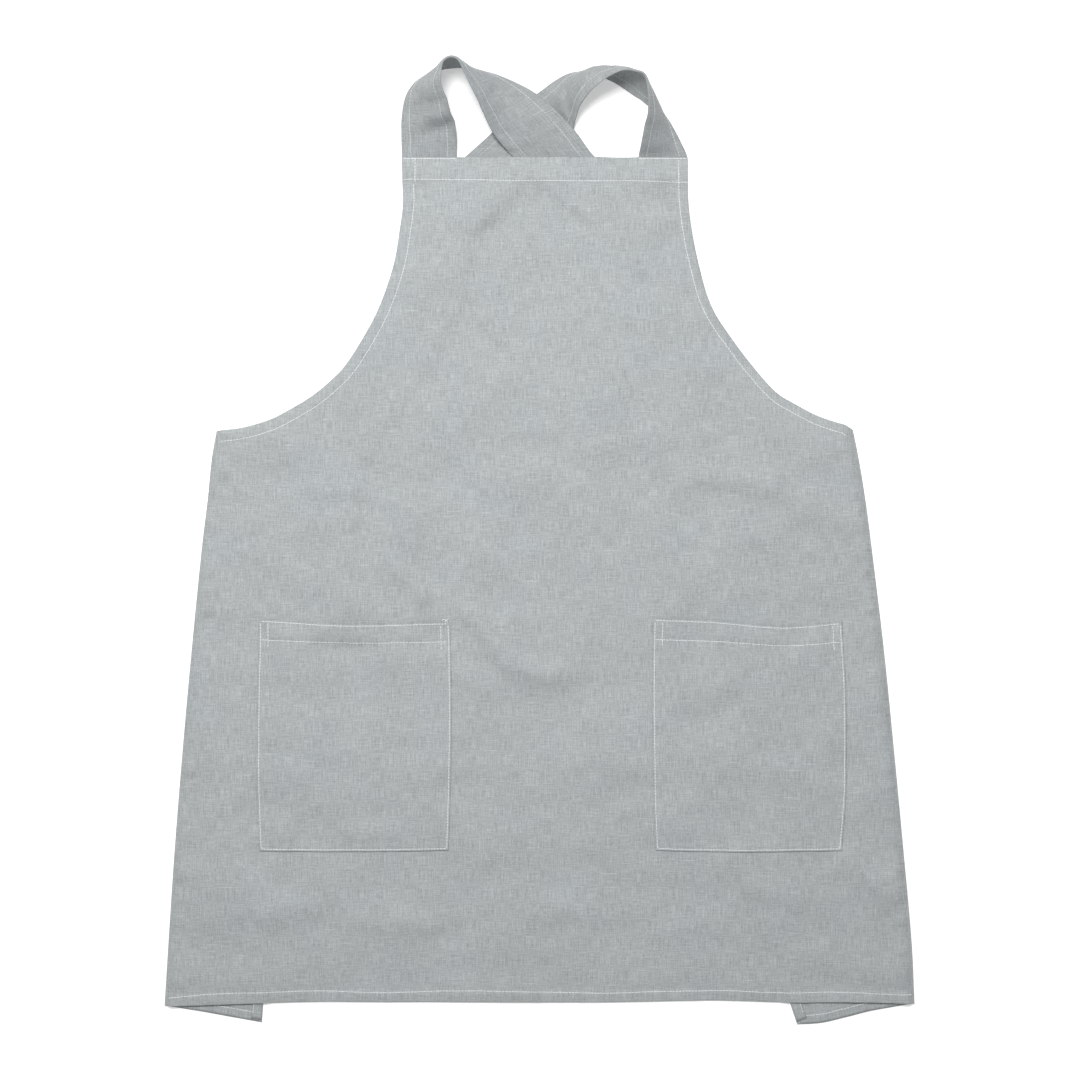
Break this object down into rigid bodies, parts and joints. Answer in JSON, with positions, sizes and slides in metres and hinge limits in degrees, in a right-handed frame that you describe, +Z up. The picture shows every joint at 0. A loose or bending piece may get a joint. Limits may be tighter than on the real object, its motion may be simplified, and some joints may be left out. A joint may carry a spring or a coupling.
{
  "type": "artist smock apron",
  "caption": "Cross-back linen apron lying flat: bib front with patch pockets, hemmed armholes, folded back panels and wide crossed shoulder straps.",
  "frame": {"origin": "centre of the outline on the surface it lies on", "axes": "+X to the bib's right edge seen from above, +Y from the hem to the bib, +Z up through the layers of cloth"},
  "size_m": [0.7491, 0.9584, 0.0565],
  "materials": {
    "linen": "matt slubby plain weave",
    "linen_turnings": "matt slubby plain weave, turned edges",
    "strap_linen": "matt slubby plain weave, two layers",
    "thread": "matt spun sewing thread"
  },
  "bodies": {
    "apron": {"front_panel": "linen", "left_back_panel": "linen", "right_back_panel": "linen", "left_pocket": "linen", "right_pocket": "linen", "bib_top_hem": "linen_turnings", "left_armhole_hem": "linen_turnings", "right_armhole_hem": "linen_turnings", "bottom_hem": "linen_turnings", "left_back_edge_hem": "linen_turnings", "right_back_edge_hem": "linen_turnings", "left_back_bottom_hem": "linen_turnings", "right_back_bottom_hem": "linen_turnings", "left_back_armhole_hem": "linen_turnings", "right_back_armhole_hem": "linen_turnings", "left_side_seam": "linen_turnings", "right_side_seam": "linen_turnings", "left_pocket_hem": "linen_turnings", "right_pocket_hem": "linen_turnings", "left_strap_tail": "strap_linen", "right_strap_tail": "strap_linen", "bib_top_thread": "thread", "left_armhole_thread": "thread", "right_armhole_thread": "thread", "bottom_hem_thread": "thread", "left_pocket_thread": "thread", "right_pocket_thread": "thread", "left_pocket_hem_thread": "thread", "right_pocket_hem_thread": "thread", "left_strap_end_thread": "thread", "right_strap_end_thread": "thread", "left_back_hem_thread": "thread", "right_back_hem_thread": "thread"},
    "left_strap": {"left_strap": "strap_linen", "left_strap_thread": "thread"},
    "right_strap": {"right_strap": "strap_linen", "right_strap_thread": "thread"}
  },
  "joints": [
    {"name": "left_strap_lift", "type": "hinge", "parent": "apron", "child": "left_strap", "pos_m": [0, 0.38275, 0.0054], "axis": [1, 0, 0], "range_deg": [0, 100]},
    {"name": "right_strap_lift", "type": "hinge", "parent": "apron", "child": "right_strap", "pos_m": [0, 0.38275, 0.0054], "axis": [1, 0, 0], "range_deg": [0, 100]}
  ],
  "couplings": [
    {"joint": "right_strap_lift", "follows": "left_strap_lift", "ratio": 1}
  ]
}
